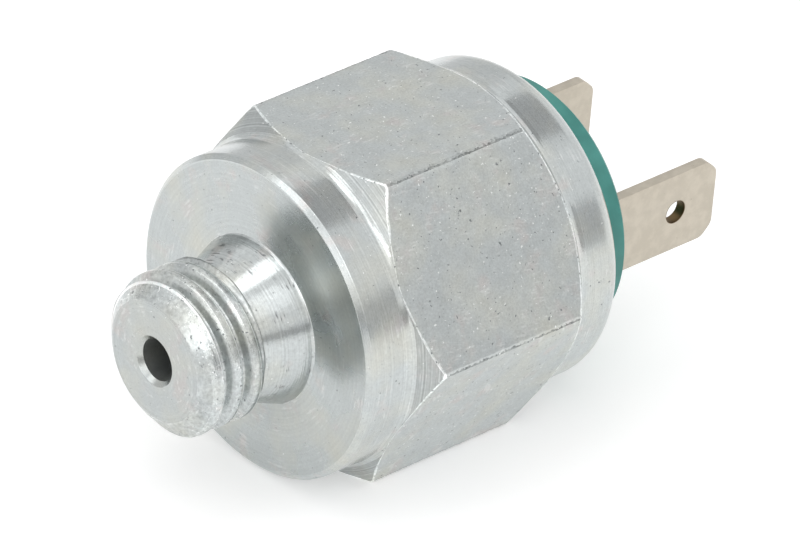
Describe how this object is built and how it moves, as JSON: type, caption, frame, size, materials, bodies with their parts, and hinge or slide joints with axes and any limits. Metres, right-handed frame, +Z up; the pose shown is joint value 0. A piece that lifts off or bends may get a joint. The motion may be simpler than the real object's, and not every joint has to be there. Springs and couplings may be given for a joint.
{
  "type": "brake pressure sensor",
  "caption": "Hexagon steel body with a threaded pressure stub in front and blade terminals in a green moulded base behind.",
  "frame": {"origin": "centre of the sealing face, the flat front face of the flange round the threaded stub, on the part's axis", "axes": "+X along the axis towards the blade terminals, the threaded stub points to -X; +Z up, square to two of the hexagon's flats, the part lies on the lower one"},
  "size_m": [0.0461, 0.0276, 0.024],
  "materials": {
    "zinc_plated_steel": "satin",
    "green_plastic": "satin",
    "plated_brass": "satin",
    "rubber": "matte",
    "plain_steel": "satin",
    "natural_plastic": "matte",
    "brass": "satin",
    "contact_silver": "satin"
  },
  "bodies": {
    "switch_body": {"housing": "zinc_plated_steel", "seal_ring": "rubber", "diaphragm": "rubber", "guide_ring": "plain_steel", "return_spring": "plain_steel", "spacer_sleeve": "natural_plastic", "base_seal": "rubber", "base": "green_plastic", "fixed_contact_right": "contact_silver", "fixed_contact_left": "contact_silver", "terminal_right": "plated_brass", "terminal_left": "plated_brass"},
    "plunger_group": {"plunger": "natural_plastic", "contact_bridge": "brass", "bridge_contact_right": "contact_silver", "bridge_contact_left": "contact_silver"}
  },
  "joints": [
    {"name": "plunger_slide", "type": "slide", "parent": "switch_body", "child": "plunger_group", "axis": [1, 0, 0], "range_m": [0, 0.0008], "stiffness_N_per_m": 4200, "deforming": ["return_spring"]}
  ]
}
